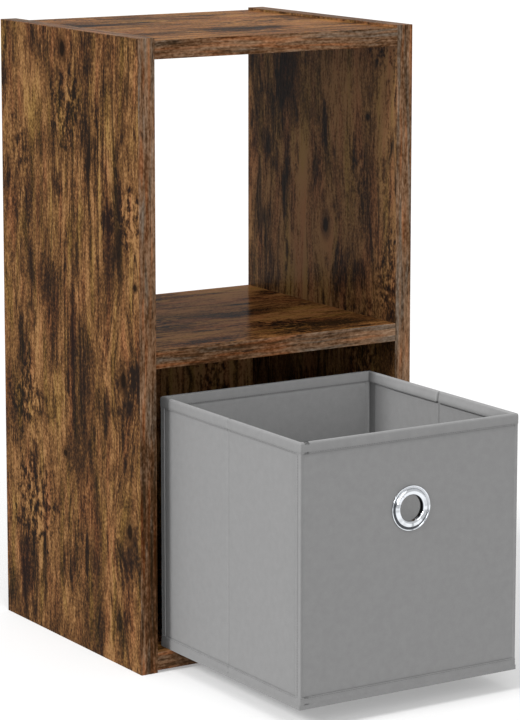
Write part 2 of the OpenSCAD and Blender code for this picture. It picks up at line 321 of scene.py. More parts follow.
def wood(name, axes, seed, tone_and_painted_light, gloss, rough, marks):
    """Printed smoked oak: fibres, streaks that open round knots, charred patches, crumbled spots, cracks."""
    t = Tree(name)
    space = grain_space(t, axes, seed)
    distance, beside, there = knots(t, space)
    near = t.times(t.fit(distance, 0.42, 0.0), there)
    wander = t.noise(stretched(t, space, 9, 3.2, 0), 2)
    u = offset(t, wander, 0.03, space[0])
    u = t.math("SUBTRACT", u, t.times(t.times(beside, near), 0.8))
    bent = (u, space[1], space[2])

    broad = t.noise(stretched(t, bent, 14, 3.8, 14, 3.7), 1)
    band = t.noise(stretched(t, bent, 42, 10, 42, 1.3), 1)
    streak = t.noise(stretched(t, bent, 105, 23, 105, 6.1), 1)
    fibre = t.noise(stretched(t, bent, 300, 45, 300), 1, 0.8)
    speckle = t.noise(stretched(t, space, 400, 280, 400, 5.5), 1, 0.7)
    # A board's own tone; the lift on the inner and top boards is painted light.
    tone = 0.59 + tone_and_painted_light
    for part, gain in ((broad, 0.9), (band, 0.65), (streak, 0.75), (fibre, 1.15), (speckle, 1.1)):
        tone = offset(t, part, gain, tone)
    crumble = t.noise(stretched(t, space, 130, 90, 130, 2.9), 2, 0.7)
    feather = offset(t, band, 1.1, offset(t, streak, 0.7, offset(t, fibre, 0.8, 0.0)))
    feather = offset(t, crumble, 1.3, feather)

    def marked(kind, low=1.3, high=0.7):
        """1 inside the marks of a kind and 0 outside, with feathered edges."""
        return t.fit(t.math("ADD", ovals(t, bent, seed, marks[kind]), feather), low, high)

    grooves = t.noise(stretched(t, bent, 120, 2.4, 120, 9.4), 1, 0.6)
    grooved = t.fit(t.noise(stretched(t, space, 8, 2.2, 8, 4.4), 1), 0.5, 0.62)
    if marks:
        grooved = t.math("MAXIMUM", t.times(grooved, 0.5), marked("grooved"))
    tone = t.math("ADD", tone, t.times(offset(t, grooves, 2.0, 0.06), grooved))
    crumbled = t.fit(t.noise(stretched(t, bent, 17, 8, 17, 5.9), 2), 0.58, 0.68)
    if marks:
        crumbled = t.math("MAXIMUM", t.times(crumbled, 0.6), marked("crumbled"))
    tone = t.math("ADD", tone, t.times(offset(t, crumble, 3.2, -0.05), crumbled))

    patch = t.noise(stretched(t, bent, 15, 5, 3, 8.1), 3, 0.55)
    patch = offset(t, streak, 0.3, offset(t, fibre, 0.35, patch))
    burnt = t.fit(patch, 0.58 if marks else 0.53, 0.7 if marks else 0.64)
    spot = t.noise(stretched(t, bent, 60, 12, 10, 3.3), 2, 0.6)
    spot = t.fit(offset(t, fibre, 0.2, spot), 0.6, 0.7)
    burnt = t.math("MAXIMUM", burnt, spot)
    if marks:
        burnt = t.math("MAXIMUM", burnt, marked("charred", 1.6, -0.2))
    tone = t.math("MULTIPLY_ADD", burnt, -0.56 if marks else -0.52, tone)
    if marks:
        tone = t.math("MULTIPLY_ADD", marked("brown", 1.5, 0.2), -0.33, tone)
        tone = t.math("MULTIPLY_ADD", marked("golden", 1.5, 0.2), 0.16, tone)

    stops = [
        (0.00, (0.0105, 0.0066, 0.0050)),
        (0.22, (0.0270, 0.0138, 0.0072)),
        (0.48, (0.0620, 0.0290, 0.0115)),
        (0.74, (0.1180, 0.0570, 0.0215)),
        (1.00, (0.2150, 0.1130, 0.0460)),
    ]
    colour = t.ramp(t.fit(tone, -0.2, 1.2), stops)
    hue = t.noise(stretched(t, bent, 60, 9, 60, 7.7), 2)
    colour = t.blend(t.fit(hue, 0.5, 0.7, 0.0, 0.8), colour, (1.03, 0.86, 0.92), "MULTIPLY")
    colour = t.blend(t.fit(hue, 0.5, 0.3, 0.0, 0.8), colour, (0.95, 1.08, 0.82), "MULTIPLY")

    line = t.noise(stretched(t, bent, 34, 2.4, 6, 5.3), 1, 0.4)
    line = t.fit(t.math("ABSOLUTE", t.math("SUBTRACT", line, 0.5)), 0.016, 0.0)
    where = t.fit(t.noise(stretched(t, space, 11, 7, 3, 1.9), 1), 0.52, 0.6)
    crack = t.times(line, where)
    colour = t.blend(t.times(crack, 0.8), colour, (0.0085, 0.0055, 0.0040))

    ring = t.times(t.fit(distance, 0.115, 0.05), there)
    core = t.times(t.fit(distance, 0.052, 0.03), there)
    if marks:
        placed = ovals(t, space, seed, marks["knots"])
        ring = t.math("MAXIMUM", ring, t.fit(placed, 1.5, 1.0))
        core = t.math("MAXIMUM", core, t.fit(placed, 1.0, 0.5))
    colour = t.blend(t.times(ring, 0.6), colour, (0.026, 0.0125, 0.0055))
    colour = t.blend(t.times(core, 0.9), colour, (0.006, 0.0038, 0.0026))

    if axes == ALONG_X:
        colour = t.blend(1.0, colour, (1.06, 0.93, 0.78), "MULTIPLY")
    t.set("Base Color", colour)
    t.set("Roughness", t.fit(fibre, 0.2, 0.8, rough, rough + 0.12))
    t.set("IOR", gloss)
    relief = t.math("SUBTRACT", t.math("MULTIPLY_ADD", fibre, 0.6, streak), crack)
    t.bump(relief, 0.00012, 0.4)
    return t.material


def edging(name, axes, seed, darker_marks=(), drop=0.0):
    """Thin edging strip: fine brown, orange and grey streaks that run along it, with short dark dashes."""
    t = Tree(name)
    space = grain_space(t, axes, seed)
    wander = t.noise(stretched(t, space, 0, 14, 0), 1)
    bent = (offset(t, wander, 0.006, space[0]), space[1], space[2])
    broad = t.noise(stretched(t, bent, 25, 3.5, 25, 2.3), 1)
    streak = t.noise(stretched(t, bent, 230, 13, 230), 2, 0.8)
    speckle = t.noise(stretched(t, space, 420, 190, 420, 5.5), 1, 0.7)
    tone = 0.52 - drop
    for part, gain in ((broad, 0.6), (streak, 1.3), (speckle, 0.9)):
        tone = offset(t, part, gain, tone)
    # Darker where these marks lie.
    if darker_marks:
        tone = t.math("MULTIPLY_ADD", t.fit(ovals(t, bent, seed, darker_marks), 1.1, 0.3), -0.24, tone)
    stops = [
        (0.00, (0.0230, 0.0100, 0.0036)),
        (0.25, (0.0620, 0.0290, 0.0130)),
        (0.50, (0.1200, 0.0660, 0.0360)),
        (0.75, (0.1750, 0.1040, 0.0620)),
        (1.00, (0.2650, 0.1680, 0.1060)),
    ]
    colour = t.ramp(t.fit(tone, -0.2, 1.2), stops)
    hue = t.noise(stretched(t, bent, 190, 11, 190, 7.7), 1)
    colour = t.blend(t.fit(hue, 0.52, 0.68, 0.0, 0.75), colour, (0.62, 0.86, 1.15), "MULTIPLY")
    colour = t.blend(t.fit(hue, 0.48, 0.32, 0.0, 0.8), colour, (1.25, 0.86, 0.6), "MULTIPLY")
    dash = t.noise(stretched(t, bent, 330, 45, 330, 1.1), 1)
    colour = t.blend(t.fit(dash, 0.64, 0.74, 0.0, 0.75), colour, (0.014, 0.0085, 0.0055))
    t.set("Base Color", colour)
    t.set("Roughness", t.fit(speckle, 0.2, 0.8, 0.3, 0.42))
    t.set("IOR", 1.05)
    t.bump(streak, 0.0001, 0.4)
    return t.material


def fibreboard(name, tint):
    t = Tree(name)
    fleck = t.noise(t.cells(t.object_axes(), 700), 4, 0.7)
    dark = tuple(0.6 * c for c in tint)
    t.set("Base Color", t.ramp(fleck, [(0.35, dark), (0.65, tint)]))
    t.set("Roughness", 0.8)
    t.bump(fleck, 0.0002)
    return t.material


def metal(name, tint, roughness, wear):
    t = Tree(name)
    haze = t.noise(t.cells(t.object_axes(), 900), 3, 0.6)
    dark = tuple(0.92 * c for c in tint)
    t.set("Base Color", t.ramp(haze, [(0.3, dark), (0.7, tint)]))
    t.set("Metallic", 1.0)
    t.set("Roughness", t.fit(haze, 0.3, 0.8, roughness, roughness + wear))
    return t.material


def chromed(name, centre):
    """Chrome of the eyelet with painted reflections and shade: darker in its sunken band, on its brim, in
    streaks round the ring and down the barrel's right side.
    """
    t = Tree(name)
    x, _, z = t.object_axes()
    right = t.times(t.math("SUBTRACT", x, centre.x * MM), 1 / MM)
    up = t.times(t.math("SUBTRACT", z, centre.z * MM), 1 / MM)
    radius = t.math("SQRT", t.math("MULTIPLY_ADD", right, right, t.times(up, up)))
    low_left = t.math("DIVIDE", t.math("MULTIPLY_ADD", right, -0.55, t.times(up, -0.83)), radius)
    upper_right = t.math("DIVIDE", t.math("MULTIPLY_ADD", right, 0.94, t.times(up, 0.34)), radius)
    turn = [t.times(side, 2.4) for side in (low_left, upper_right)]
    around = t.noise(t.vector(*turn, 0.7), 1)
    band = t.times(t.fit(radius, 20.5, 21.2), t.fit(radius, 23.7, 23.2))
    sunken = t.times(band, t.fit(offset(t, around, 1.2, low_left), -0.9, 0.6, 0.35, 0.97))
    barrel = t.times(t.fit(radius, 15.6, 15.0), t.fit(upper_right, -0.2, 0.5, 0.3, 0.97))
    brim = t.fit(radius, 24.6, 25.0, 0.0, 0.8)
    streak = t.times(t.fit(around, 0.5, 0.62, 0.0, 0.5), t.fit(radius, 15.5, 17.5))
    # Dark reflections and shade, painted into the chrome's colour.
    dark = t.math("MAXIMUM", t.math("MAXIMUM", sunken, barrel), t.math("MAXIMUM", brim, streak))
    t.set("Base Color", t.blend(dark, (0.82, 0.85, 0.89), (0.045, 0.05, 0.056)))
    t.set("Metallic", 1.0)
    t.set("Roughness", 0.08)
    return t.material


def fabric(name, tint, ribs=False, corners=None):
    """Non-woven polypropylene, or ribbed tape: an even grey with fine fibres.

    With corners, two places along Y in millimetres, painted shade darkens it within some centimetres of them."""
    t = Tree(name)
    x, y, z = t.object_axes()
    fine = t.noise(t.cells((x, y, z), 1500), 3, 0.65)
    cloud = t.noise(t.cells((x, y, z), 130), 2, 0.5)
    level = offset(t, cloud, 0.3, offset(t, fine, 0.5, 0.5))
    dark = tuple(0.86 * c for c in tint)
    pale = tuple(1.14 * c for c in tint)
    colour = t.ramp(level, [(0.25, dark), (0.75, pale)])
    if corners:
        front, rear = corners
        # Painted shade: the cloth darkens towards the box's inner corners.
        away = t.math("MINIMUM", t.math("SUBTRACT", y, front * MM), t.math("SUBTRACT", rear * MM, y))
        colour = t.blend(t.fit(away, 0.055, 0.008, 0.0, 0.85), colour, (0.5, 0.5, 0.5), "MULTIPLY")
    t.set("Base Color", colour)
    t.set("Roughness", 0.85)
    t.set("Specular IOR Level", 0.2)
    t.set("Sheen Weight", 0.08)
    height = fine
    if ribs:
        rib_pitch = 0.0011
        wave = t.math("SINE", t.times(z, 2 * math.pi / rib_pitch))
        height = t.math("MULTIPLY_ADD", wave, 0.35, fine)
    t.bump(height, 0.00012, 0.5)
    return t.material


# ---------- mesh tools ----------


def make_object(name, points, faces, slots, materials, sharp=40):
    """One Blender object from points in millimetres, with coinciding points merged and faces outwards."""
    mesh = bpy.data.meshes.new(name)
    mesh.from_pydata([tuple(MM * c for c in p) for p in points], [], faces)
    for material in materials:
        mesh.materials.append(material)
    mesh.polygons.foreach_set("material_index", slots)
    bm = bmesh.new()
    bm.from_mesh(mesh)
    bmesh.ops.remove_doubles(bm, verts=bm.verts, dist=2e-6)
    bmesh.ops.dissolve_degenerate(bm, edges=bm.edges, dist=1e-6)
    bmesh.ops.recalc_face_normals(bm, faces=bm.faces)
    bm.to_mesh(mesh)
    bm.free()
    mesh.polygons.foreach_set("use_smooth", [True] * len(mesh.polygons))
    mesh.set_sharp_from_angle(angle=math.radians(sharp))
    return add_object(name, mesh)


class Shape:
    """The points, faces and material numbers of one piece, in millimetres."""

    def __init__(self):
        self.points, self.faces, self.slots = [], [], []

    def loft(self, rings, slot=0, caps=True, closed=False, lining=None):
        """Skins equal rings of points, each a closed loop.

        The optional last argument is (first point, last point, slot): the part of each ring that faces into
        the box and has another material, a lighter copy that is painted light."""
        first, size = len(self.points), len(rings[0])
        for ring in rings:
            self.points.extend(tuple(p) for p in ring)
        spans = len(rings) if closed else len(rings) - 1
        for i in range(spans):
            a = first + i * size
            b = first + (i + 1) % len(rings) * size
            for k in range(size):
                m = (k + 1) % size
                self.faces.append((a + k, a + m, b + m, b + k))
                lined = lining is not None and lining[0] <= k < lining[1]
                self.slots.append(lining[2] if lined else slot)
        if caps and not closed:
            self.faces.append(tuple(range(first, first + size)))
            last = first + (len(rings) - 1) * size
            self.faces.append(tuple(range(last, last + size)))
        self.slots += [slot] * (len(self.faces) - len(self.slots))

    def stitch(self, centre, along, out, slot=1, length=2.3, width=0.62, height=0.5):
        """A short thread that lies on the cloth, thick in its middle."""
        along, out = Vector(along).normalized(), Vector(out).normalized()
        across = along.cross(out).normalized()
        rings = []
        for share, girth in ((-1, 0.35), (-0.7, 0.85), (0, 1.0), (0.7, 0.85), (1, 0.35)):
            middle = Vector(centre) + along * (share * length / 2)
            ring = []
            for k in range(6):
                a = k * math.pi / 3
                sideways = across * (math.cos(a) * girth * width / 2)
                ring.append(middle + sideways + out * (math.sin(a) * girth * height / 2))
            rings.append(ring)
        self.loft(rings, slot)

    def object(self, name, materials, sharp=40):
        return make_object(name, self.points, self.faces, self.slots, materials, sharp)


def skinned(name, rings, materials, sharp=40, **how):
    """One object whose skin is lofted over rings."""
    shape = Shape()
    shape.loft(rings, **how)
    return shape.object(name, materials, sharp)


class Run:
    """A stretch of the box's wall seen from above: s runs along it and d from its outer plane inwards."""

    def __init__(self, outer, inner):
        self.outer, self.inner = outer, inner

    def at(self, s, d, z):
        a, b = self.outer(s), self.inner(s)
        p = a + (b - a) * (d / EDGE)
        return Vector((p.x, p.y, z))

    def along(self, s):
        return self.at(s + 0.2, 0, 0) - self.at(s - 0.2, 0, 0)

    def out(self, s):
        return self.at(s, 0, 0) - self.at(s, 1, 0)


def straight_run(start, along, inward):
    start, along, inward = Vector(start), Vector(along), Vector(inward)
    return Run(lambda s: start + along * s, lambda s: start + along * s + inward * EDGE)


def corner_run(tip, side_way, end_way, radius=CORNER_RADIUS):
    """The rounded corner at tip, with s below 0 on the side wall and above 0 on the front or back wall."""
    tip, side_way, end_way = Vector(tip), Vector(side_way), Vector(end_way)
    quarter = radius * math.pi / 4

    def outer(s):
        if s < -quarter:
            return tip + side_way * (radius - quarter - s)
        if s > quarter:
            return tip + end_way * (radius - quarter + s)
        turn = (s / quarter + 1) * math.pi / 4
        centre = tip + (side_way + end_way) * radius
        return centre - (end_way * math.cos(turn) + side_way * math.sin(turn)) * radius

    def inner(s):
        p = outer(s) - tip
        return tip + side_way * max(p.dot(side_way), EDGE) + end_way * max(p.dot(end_way), EDGE)

    return Run(outer, inner)


def steps(start, stop, step):
    count = max(1, round((stop - start) / step))
    return [start + (stop - start) * k / count for k in range(count + 1)]


def steps_with(start, stop, step, places, reach, fine):
    """Even steps, with finer ones near the given places."""
    found = set(steps(start, stop, step))
    for place in places:
        near = {s for s in found if abs(s - place) < reach}
        found -= near
        found |= {s for s in steps(place - reach, place + reach, fine) if start < s < stop}
    return sorted(found | {start, stop})


def ripple(*place):
    """Smooth noise from -1 to 1, the same in each run."""
    return noise.noise(Vector(place))


def arc(cx, cy, radius, start, stop, count):
    """Points on an arc, with angles in degrees."""
    found = []
    for k in range(count + 1):
        a = math.radians(start + (stop - start) * k / count)
        found.append((cx + radius * math.cos(a), cy + radius * math.sin(a)))
    return found


# ---------- fabric box ----------


class Box:
    """Planes of the folding box in millimetres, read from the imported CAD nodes."""

    def __init__(self):
        low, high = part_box("front_wall_rim_tape")
        self.x0, self.x1 = low.x / MM, high.x / MM
        self.y0 = low.y / MM
        self.top = high.z / MM
        self.y1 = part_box("back_wall_rim_tape")[1].y / MM
        self.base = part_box("bottom_fabric")[0].z / MM
        self.width, self.depth = self.x1 - self.x0, self.y1 - self.y0
        self.foot = self.base + WALL_FOOT
        self.band_top = self.base + BASE_BAND
        self.band_low = self.top - RIM_BAND
        self.crease = self.depth / 2
        low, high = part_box("eyelet_rim")
        self.eye = Vector(((low.x + high.x) / 2, self.y0, (low.z + high.z) / 2))
        self.eye.x, self.eye.z = self.eye.x / MM, self.eye.z / MM
        self.walls = {
            "front": straight_run((self.x0, self.y0), (1, 0), (0, 1)),
            "back": straight_run((self.x0, self.y1), (1, 0), (0, -1)),
            "left": straight_run((self.x0, self.y0), (0, 1), (1, 0)),
            "right": straight_run((self.x1, self.y0), (0, 1), (-1, 0)),
        }
        self.corners = {
            "front_left": ((self.x0, self.y0), (0, 1), (1, 0), "left_front", "front_wall"),
            "front_right": ((self.x1, self.y0), (0, 1), (-1, 0), "right_front", "front_wall"),
            "back_left": ((self.x0, self.y1), (0, -1), (1, 0), "left_rear", "box"),
            "back_right": ((self.x1, self.y1), (0, -1), (-1, 0), "right_rear", "box"),
        }

    def is_side(self, wall):
        return wall in ("left", "right")

    def body_wall(self, obj, wall):
        """Makes a piece on the front or back wall move with it; a side wall's piece is baked in place."""
        if wall == "front":
            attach(obj, "front_wall")
        elif wall == "back":
            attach(obj, "box")
        else:
            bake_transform(obj)

    def body_corner(self, obj, corner):
        """Makes a piece at the open corner move with its front or back wall; any other corner piece is baked
        in place.
        """
        tip, side_way, _, side_body, end_body = self.corners[corner]
        if corner == OPEN_CORNER:
            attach(obj, end_body)
            return
        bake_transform(obj)

    def body_seam(self, obj, corner, is_lap):
        """A lap at the open corner stays on the side wall; everything else is placed like its corner piece.
        """
        if is_lap:
            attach(obj, self.corners[corner][3])
        else:
            self.body_corner(obj, corner)


def near(distance, width):
    return math.exp(-((distance / width) ** 2))


def crease_dip(box, wall, s):
    return near(s - box.crease, 1.8) if box.is_side(wall) else 0.0


def crease_slit(box, wall, s):
    """1 on a side wall's crease, where it is thin so that the folded creases don't meet, and 0 beside it."""
    return near(s - box.crease, 1.35) if box.is_side(wall) else 0.0


def squeezed(depth, share):
    """A depth moved towards the wall's outer face, as far as share says."""
    return 1.0 + (depth - 1.0) * (1 - 0.76 * share)


def rim_lift(box, wall, s):
    """How far the inner edge of a side wall's rim binding stands off it: not at all near the corners."""
    if not box.is_side(wall):
        return 0.0
    share = (min(s, box.depth - s) - SIDE_END) / 45
    return 2.0 * min(max(share, 0.0), 1.0) * (1 - 0.45 * near(s - box.crease, 3))


def skin_depths(box, wall, seed, s, z, s_low, s_high):
    """How deep a wall's outer and inner cloth lie, with a soft swell, slow waves and puckers at the seams."""
    u = (s - s_low) / (s_high - s_low)
    v = (z - box.band_top) / (box.band_low - box.band_top)
    u, v = min(max(u, 0), 1), min(max(v, 0), 1)
    halves = 2 if box.is_side(wall) else 1
    swell = abs(math.sin(math.pi * u * halves)) ** 0.6 * math.sin(math.pi * v) ** 0.6
    wave = ripple(s / 55, z / 70, seed) * min(1, 6 * v * (1 - v) + 0.15)
    to_rim, to_base = box.band_low - z, z - box.band_top
    pucker = ripple(s / 5.5, seed + 4, z / 40) * (near(to_rim, 9) + near(to_base, 9))
    outer = BIND - 0.42 * swell - 0.16 * wave + 0.13 * pucker + 1.0 * crease_dip(box, wall, s)
    outer += 0.55 * near(to_rim, 1.8) + 0.35 * near(to_base, 1.2)
    inner = EDGE - BIND + 0.2 * swell * wave + 0.1 * pucker - 0.6 * near(to_rim, 2.4)
    inner -= 2.3 * crease_slit(box, wall, s)
    if wall == "front":
        radius = math.hypot(s - (box.eye.x - box.x0), z - box.eye.z)
        outer += 0.5 * near(radius - 25.5, 2.6) + 0.25 * near(radius, 24)
    return outer, inner


def make_skin(box, wall, seed, materials):
    """One wall's cover: its outer and inner cloth over the board, closed along its edges."""
    side = box.is_side(wall)
    s_low, s_high = (SIDE_START, box.depth - SIDE_START) if side else (1.3, box.width - 1.3)
    places = [box.crease] if side else []
    stations = steps_with(s_low, s_high, 3.0, places, 5.4, 0.6)
    z_low, z_high = box.foot + 0.4, box.top - BIND - 0.1
    heights = steps_with(z_low, z_high, 3.0, [box.band_top, box.band_low], 4.0, 0.8)
    run = box.walls[wall]
    rings = []
    for s in stations:
        pinch = max(0.0, 0.6 - min(s - s_low, s_high - s)) if not side else 0.0
        outer, inner = [], []
        for z in heights:
            out_d, in_d = skin_depths(box, wall, seed, s, z, s_low, s_high)
            outer.append(run.at(s, out_d + pinch, z))
            inner.append(run.at(s, in_d - pinch, z))
        rings.append(outer + inner[::-1])
    return skinned(f"{wall}_skin", rings, materials, lining=(len(heights), 2 * len(heights) - 1, 1))


def cut_round_hole(obj, centre, radius):
    """Cuts a hole along Y through obj, with centre and radius in millimetres."""
    rings = []
    outline = arc(0, 0, radius, 0, 360 - 360 / ROUND_SIDES, ROUND_SIDES - 1)
    for y in (-12, 12):
        rings.append([(centre.x + px, centre.y + y, centre.z + pz) for px, pz in outline])
    cutter = skinned("cutter", rings, [])
    modifier = obj.modifiers.new("hole", "BOOLEAN")
    modifier.operation = "DIFFERENCE"
    modifier.solver = "EXACT"
    modifier.object = cutter
    graph = bpy.context.evaluated_depsgraph_get()
    holed = obj.evaluated_get(graph)
    mesh = bpy.data.meshes.new_from_object(holed, preserve_all_data_layers=True, depsgraph=graph)
    obj.modifiers.clear()
    obj.data = mesh
    bpy.data.objects.remove(cutter)


def rim_profile(box, s, seed, dent, lift):
    """Section of the rim binding as (depth, height) points, over the wall's edge and down both sides."""
    top, low = box.top, box.band_low
    slack = 0.10 * ripple(s / 6, seed, 1) + 0.06 * ripple(s / 2.2, seed, 5)
    body = [
        (0.86, low + 0.15),
        (0.36, low),
        (0.00, low + 0.3),
        (0.06, low + 0.6),
        (0.26, low + 0.9),
        (0.20, low + 1.3),
        (-0.06, low + 1.8),
        (-0.02 + slack, low + 3.8),
        (-0.10 + slack + 0.9 * dent, low + 5.6),
        (-0.10 + 1.5 * slack + 1.2 * dent, low + 7.6),
        (-0.05 + slack + 0.8 * dent, low + 9.4),
    ]
    body += [(d, z - 0.5 * dent) for d, z in arc(2.3, top - 2.3, 2.3, 180, 100, 5)]
    body += [(d, z - 0.5 * dent) for d, z in arc(EDGE - 2.3, top - 2.3, 2.3, 80, 0, 5)]
    body += [
        (EDGE + 0.05 - slack + 0.5 * lift - dent, low + 7.4),
        (EDGE + 0.02 - slack + 0.8 * lift - dent, low + 4.6),
        (EDGE - 0.02 + lift - 0.6 * dent, low + 1.8),
        (EDGE - 0.20 + lift, low + 1.3),
        (EDGE - 0.26 + lift, low + 0.9),
        (EDGE - 0.06 + lift, low + 0.6),
        (EDGE - 0.10 + lift, low + 0.3),
        (EDGE - 0.86, low + 0.15),
        (EDGE - 0.92, top - BIND),
        (0.92, top - BIND),
    ]
    return body


def base_profile(box, s, seed, dent):
    """Section of the bottom binding: a turned upper edge outside, under the wall and a bit up inside."""
    low, top = box.foot, box.band_top
    slack = 0.08 * ripple(s / 6, seed, 2) + 0.05 * ripple(s / 2.2, seed, 6)
    return [
        (0.04, low),
        (0.00, low + 1.2),
        (0.02 + slack + 0.7 * dent, low + 3.0),
        (0.06 + slack + 0.7 * dent, low + 4.4),
        (0.06 + 0.5 * dent, low + 5.6),
        (-0.10 + slack, low + 6.3),
        (0.16, top - 1.1),
        (0.24, top - 0.8),
        (0.04, top - 0.5),
        (-0.02, top - 0.3),
        (0.30 + slack, top + 0.05),
        (0.90, top + 0.05),
        (0.92, low + 1.2),
        (EDGE - 0.92, low + 1.2),
        (EDGE - 0.90, top),
        (EDGE - 0.25, top),
        (EDGE, top - 0.6),
        (EDGE, low + 0.3),
        (EDGE - 0.3, low),
    ]


def sew(shape, run, places, d, z):
    """A row of stitches along a run."""
    for s in places:
        shape.stitch(run.at(s, d, z), run.along(s), run.out(s))


def stitch_places(start, stop):
    count = int((stop - start) / STITCH_PITCH)
    gap = (stop - start) / count
    return [start + gap * (k + 0.5) for k in range(count)]


def sew_rows(shape, box, run, kind, places, wall=None):
    if kind == "rim":
        sew(shape, run, places, 0.22, box.band_low + 1.0)
        for s in places:
            lift = rim_lift(box, wall, s) if wall else 0.0
            if not (wall and box.is_side(wall) and abs(s - box.crease) < CREASE_BARE):
                sew(shape, run, [s], EDGE - 0.24 + lift, box.band_low + 1.0)
    else:
        sew(shape, run, places, 0.20, box.band_top - 0.9)


def profile(box, kind, s, seed, dent=0.0, lift=0.0):
    if kind == "rim":
        return rim_profile(box, s, seed, dent, lift)
    return base_profile(box, s, seed, dent)


def make_band(box, kind, wall, seed, materials):
    """The straight part of the rim or bottom binding on one wall."""
    side = box.is_side(wall)
    low, high = (SIDE_END, box.depth - SIDE_END) if side else (RIM_END, box.width - RIM_END)
    if wall in OPEN_CORNER:
        low = SIDE_START
    stations = steps_with(low, high, 2.0, [box.crease] if side else [], 5.4, 0.45)
    run = box.walls[wall]
    rings = []
    for s in stations:
        dent = 0.8 * crease_dip(box, wall, s)
        slit = crease_slit(box, wall, s)
        section = profile(box, kind, s, seed, dent, rim_lift(box, wall, s))
        rings.append([run.at(s, squeezed(d, slit), z) for d, z in section])
    shape = Shape()
    shape.loft(rings, lining=RIM_INSIDE_PAINTED_LIGHT if kind == "rim" else None)
    sew_rows(shape, box, run, kind, stitch_places(low, high), wall)
    obj = shape.object(f"{kind}_binding_{wall}", materials)
    box.body_wall(obj, wall)
    return obj


def make_corner_band(box, kind, corner, seed, materials):
    """The rim or bottom binding round one corner."""
    run = corner_run(*box.corners[corner][:3])
    low, high = CORNER_TURN - SIDE_END, RIM_END - CORNER_TURN
    if corner == OPEN_CORNER:
        low = CORNER_TURN - SIDE_START + 0.1
    stations = steps_with(low, high, 1.5, [BEND_MIDDLE, 0.0], 1.9, 0.35)
    rings = []
    for s in stations:
        rings.append([run.at(s, d, z) for d, z in profile(box, kind, s, seed)])
    shape = Shape()
    shape.loft(rings, lining=RIM_INSIDE_PAINTED_LIGHT if kind == "rim" else None)
    sew_rows(shape, box, run, kind, [s for s in stitch_places(low, high) if abs(s) > CORNER_BARE])
    obj = shape.object(f"{kind}_binding_{corner}", materials)
    box.body_corner(obj, corner)
    return obj


def lap_section(corner):
    """Sections of the lapped corner seam as (way along the wall, depth) loops, one for each piece."""
    edge_bead = [(-9.0, 0.98), (-8.8, 0.50), (-8.3, 0.18), (-7.5, 0.34), (-6.6, 0.66)]
    channel = [(-s, 0.52) for s in steps(4.1, 6.4, 0.35)[::-1]]
    bead = [(-3.6, 0.46), (-3.0, 0.30), (-2.4, 0.14), (-1.7, 0.25), (-1.1, 0.3), (-0.5, 0.3), (0.0, 0.3)]
    bead += [(0.5, 0.3), (1.1, 0.3), (1.8, 0.4), (3.0, 0.62), (4.4, 0.98)]
    back = [(s, 1.06) for s in (2.2, 1.4, 0.7, 0.0, -0.7, -1.4, -2.4, -3.4)]
    if corner != OPEN_CORNER:
        deep = [(-s, 1.06) for s in steps(4.1, 6.4, 0.35)]
        return [edge_bead + channel + bead + back + deep + [(-7.4, 1.06), (-8.4, 1.04)]]
    cut = CORNER_TURN - SIDE_START
    tip_part = [(cut + 0.1, 0.72), (-4.4, 0.72)] + bead + back + [(-4.4, 1.06), (cut + 0.1, 1.06)]
    side_part = edge_bead + [(cut - 0.05, 0.72), (cut - 0.05, 1.06), (-7.4, 1.06), (-8.4, 1.04)]
    return [tip_part, side_part]


def make_corner_seams(box, corner, seed, materials):
    """The lapped seam up the outside of a corner: two raised edges with a sewn channel between them."""
    run = corner_run(*box.corners[corner][:3])
    low, high = box.band_top + 0.15, box.band_low - 0.05
    made = []
    for part, section in enumerate(lap_section(corner)):
        shape = Shape()
        rings = []
        for z in steps(low, high, 2.5):
            sway = 0.3 * ripple(z / 45, seed, 3) + 0.1 * ripple(z / 7, seed, 9)
            rings.append([run.at(s + (sway if s < -5.9 else 0), d, z) for s, d in section])
        shape.loft(rings)
        if part == 0:
            for z in stitch_places(low + 1, high - 1):
                shape.stitch(run.at(-4.6, 0.50, z), (0, 0, 1), run.out(-4.6))
        obj = shape.object(f"corner_seam_{corner}" + ("_lap" if part else ""), materials)
        box.body_seam(obj, corner, part)
        made.append(obj)
    return made


def inner_sections(corner):
    """Sections of the seam allowance as (way along the side wall, way along the end wall) loops."""
    half = [(9.2, 4.62), (7.6, 4.62), (6.6, 4.62), (6.0, 4.62), (5.4, 4.62), (5.0, 4.62)]
    inside = [(5.42, 5.42), (5.9, 5.18), (6.4, 5.06), (7.0, 5.02), (8.2, 5.0), (9.0, 4.9)]
    if corner != OPEN_CORNER:
        whole = half + [(4.62, 4.62)] + [(v, u) for u, v in half[::-1]]
        return [whole + [(v, u) for u, v in inside[:0:-1]] + inside]
    end_part = [(4.62, 4.62), (4.62, 9.2), (4.9, 9.0), (5.0, 8.2), (5.02, 4.9)]
    side_part = [(6.1, 4.62), (9.2, 4.62), (9.0, 4.9), (8.2, 5.0), (6.1, 5.02)]
    return [end_part, side_part]


def corner_piece(box, corner, section, name, material):
    """An upright piece in a corner of the box, between its two bindings."""
    tip, side_way, end_way = (Vector(v) for v in box.corners[corner][:3])
    plan = [tip + side_way * u + end_way * v for u, v in section]
    heights = steps(box.band_top + 0.1, box.band_low - 0.1, 4.0)
    return skinned(name, [[(p.x, p.y, z) for p in plan] for z in heights], [material])


def make_inner_seams(box, corner, cloth, shaded):
    """The narrow seam allowance in an inner corner, and a strip of painted shade beside it on the side wall.
    """
    made = []
    for part, section in enumerate(inner_sections(corner)):
        name = f"inner_seam_{corner}" + ("_lap" if part else "")
        obj = corner_piece(box, corner, section, name, cloth)
        box.body_seam(obj, corner, part)
        made.append(obj)
    # Painted shade: a dark strip where the inner corner lies in shade.
    strip = [(7.2, 4.70), (18.0, 4.70), (17.8, 4.98), (15.0, 5.06), (9.0, 5.08), (7.2, 5.06)]
    obj = corner_piece(box, corner, strip, f"inner_shade_strip_{corner}", shaded)
    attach(obj, box.corners[corner][3])
    made.append(obj)
    return made


